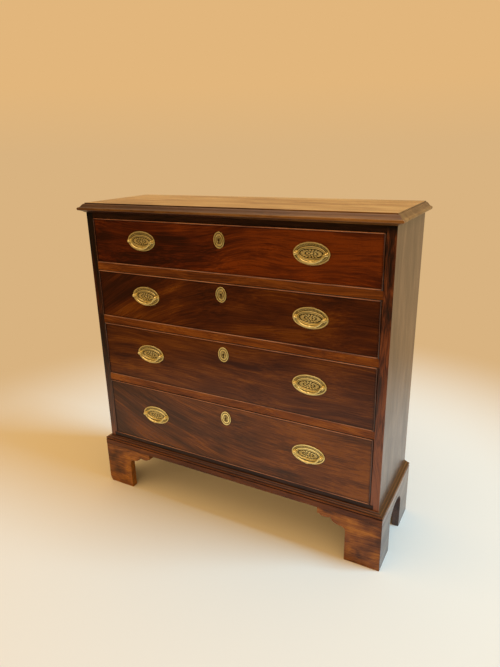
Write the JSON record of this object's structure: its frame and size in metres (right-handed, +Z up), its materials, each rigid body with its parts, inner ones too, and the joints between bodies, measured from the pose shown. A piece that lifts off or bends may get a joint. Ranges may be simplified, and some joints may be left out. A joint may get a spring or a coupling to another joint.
{
  "type": "bachelors chest",
  "caption": "Shallow mahogany chest of graduated cock-beaded drawers with oval brass bail handles, moulded top and plinth, on bracket feet",
  "frame": {"origin": "On the floor, under the middle of the chest's overall box", "axes": "+X to the right as one faces the drawers, -Y out of the drawer fronts, +Z up"},
  "size_m": [0.932, 0.298, 0.925],
  "materials": {
    "top_mahogany": "french polished, golden brown",
    "front_mahogany": "french polished figured mahogany, deep red brown",
    "case_mahogany": "french polished mahogany, red brown",
    "foot_mahogany": "worn polished mahogany, orange brown",
    "drawer_oak": "bare planed oak",
    "back_pine": "bare pine",
    "brass": "stamped, lacquered and tarnished",
    "iron": "wrought iron, dull"
  },
  "bodies": {
    "case": {"top": "top_mahogany", "case_side_left": "case_mahogany", "case_side_right": "case_mahogany", "case_back": "back_pine", "plinth": "case_mahogany", "rail_1": "case_mahogany", "rail_2": "case_mahogany", "rail_3": "case_mahogany", "foot_front_left": "foot_mahogany", "foot_front_right": "foot_mahogany", "foot_back_left": "foot_mahogany", "foot_back_right": "foot_mahogany"},
    "drawer_1": {"drawer_1_front": "front_mahogany", "drawer_1_side_left": "drawer_oak", "drawer_1_side_right": "drawer_oak", "drawer_1_back": "drawer_oak", "drawer_1_bottom": "drawer_oak", "drawer_1_lock_case": "iron", "drawer_1_escutcheon": "brass", "drawer_1_plate_left": "brass", "drawer_1_plate_right": "brass"},
    "lock_bolt_1": {"drawer_1_lock_bolt": "iron"},
    "bail_1_left": {"drawer_1_bail_left": "brass"},
    "bail_1_right": {"drawer_1_bail_right": "brass"},
    "drawer_2": {"drawer_2_front": "front_mahogany", "drawer_2_side_left": "drawer_oak", "drawer_2_side_right": "drawer_oak", "drawer_2_back": "drawer_oak", "drawer_2_bottom": "drawer_oak", "drawer_2_lock_case": "iron", "drawer_2_escutcheon": "brass", "drawer_2_plate_left": "brass", "drawer_2_plate_right": "brass"},
    "lock_bolt_2": {"drawer_2_lock_bolt": "iron"},
    "bail_2_left": {"drawer_2_bail_left": "brass"},
    "bail_2_right": {"drawer_2_bail_right": "brass"},
    "drawer_3": {"drawer_3_front": "front_mahogany", "drawer_3_side_left": "drawer_oak", "drawer_3_side_right": "drawer_oak", "drawer_3_back": "drawer_oak", "drawer_3_bottom": "drawer_oak", "drawer_3_lock_case": "iron", "drawer_3_escutcheon": "brass", "drawer_3_plate_left": "brass", "drawer_3_plate_right": "brass"},
    "lock_bolt_3": {"drawer_3_lock_bolt": "iron"},
    "bail_3_left": {"drawer_3_bail_left": "brass"},
    "bail_3_right": {"drawer_3_bail_right": "brass"},
    "drawer_4": {"drawer_4_front": "front_mahogany", "drawer_4_side_left": "drawer_oak", "drawer_4_side_right": "drawer_oak", "drawer_4_back": "drawer_oak", "drawer_4_bottom": "drawer_oak", "drawer_4_lock_case": "iron", "drawer_4_escutcheon": "brass", "drawer_4_plate_left": "brass", "drawer_4_plate_right": "brass"},
    "lock_bolt_4": {"drawer_4_lock_bolt": "iron"},
    "bail_4_left": {"drawer_4_bail_left": "brass"},
    "bail_4_right": {"drawer_4_bail_right": "brass"}
  },
  "joints": [
    {"name": "drawer_1_slide", "type": "slide", "parent": "case", "child": "drawer_1", "axis": [0, -1, 0], "range_m": [0, 0.19]},
    {"name": "lock_bolt_1_throw", "type": "slide", "parent": "drawer_1", "child": "lock_bolt_1", "axis": [0, 0, 1], "range_m": [0, 0.009]},
    {"name": "bail_1_left_swing", "type": "hinge", "parent": "drawer_1", "child": "bail_1_left", "pos_m": [-0.253, -0.1376, 0.82525], "axis": [-1, 0, 0], "range_deg": [-7, 100]},
    {"name": "bail_1_right_swing", "type": "hinge", "parent": "drawer_1", "child": "bail_1_right", "pos_m": [0.253, -0.1376, 0.82525], "axis": [-1, 0, 0], "range_deg": [-7, 100]},
    {"name": "drawer_2_slide", "type": "slide", "parent": "case", "child": "drawer_2", "axis": [0, -1, 0], "range_m": [0, 0.19]},
    {"name": "lock_bolt_2_throw", "type": "slide", "parent": "drawer_2", "child": "lock_bolt_2", "axis": [0, 0, 1], "range_m": [0, 0.009]},
    {"name": "bail_2_left_swing", "type": "hinge", "parent": "drawer_2", "child": "bail_2_left", "pos_m": [-0.253, -0.1376, 0.6675], "axis": [-1, 0, 0], "range_deg": [-7, 100]},
    {"name": "bail_2_right_swing", "type": "hinge", "parent": "drawer_2", "child": "bail_2_right", "pos_m": [0.253, -0.1376, 0.6675], "axis": [-1, 0, 0], "range_deg": [-7, 100]},
    {"name": "drawer_3_slide", "type": "slide", "parent": "case", "child": "drawer_3", "axis": [0, -1, 0], "range_m": [0, 0.19]},
    {"name": "lock_bolt_3_throw", "type": "slide", "parent": "drawer_3", "child": "lock_bolt_3", "axis": [0, 0, 1], "range_m": [0, 0.009]},
    {"name": "bail_3_left_swing", "type": "hinge", "parent": "drawer_3", "child": "bail_3_left", "pos_m": [-0.253, -0.1376, 0.48975], "axis": [-1, 0, 0], "range_deg": [-7, 100]},
    {"name": "bail_3_right_swing", "type": "hinge", "parent": "drawer_3", "child": "bail_3_right", "pos_m": [0.253, -0.1376, 0.48975], "axis": [-1, 0, 0], "range_deg": [-7, 100]},
    {"name": "drawer_4_slide", "type": "slide", "parent": "case", "child": "drawer_4", "axis": [0, -1, 0], "range_m": [0, 0.19]},
    {"name": "lock_bolt_4_throw", "type": "slide", "parent": "drawer_4", "child": "lock_bolt_4", "axis": [0, 0, 1], "range_m": [0, 0.009]},
    {"name": "bail_4_left_swing", "type": "hinge", "parent": "drawer_4", "child": "bail_4_left", "pos_m": [-0.253, -0.1376, 0.288], "axis": [-1, 0, 0], "range_deg": [-7, 100]},
    {"name": "bail_4_right_swing", "type": "hinge", "parent": "drawer_4", "child": "bail_4_right", "pos_m": [0.253, -0.1376, 0.288], "axis": [-1, 0, 0], "range_deg": [-7, 100]}
  ]
}
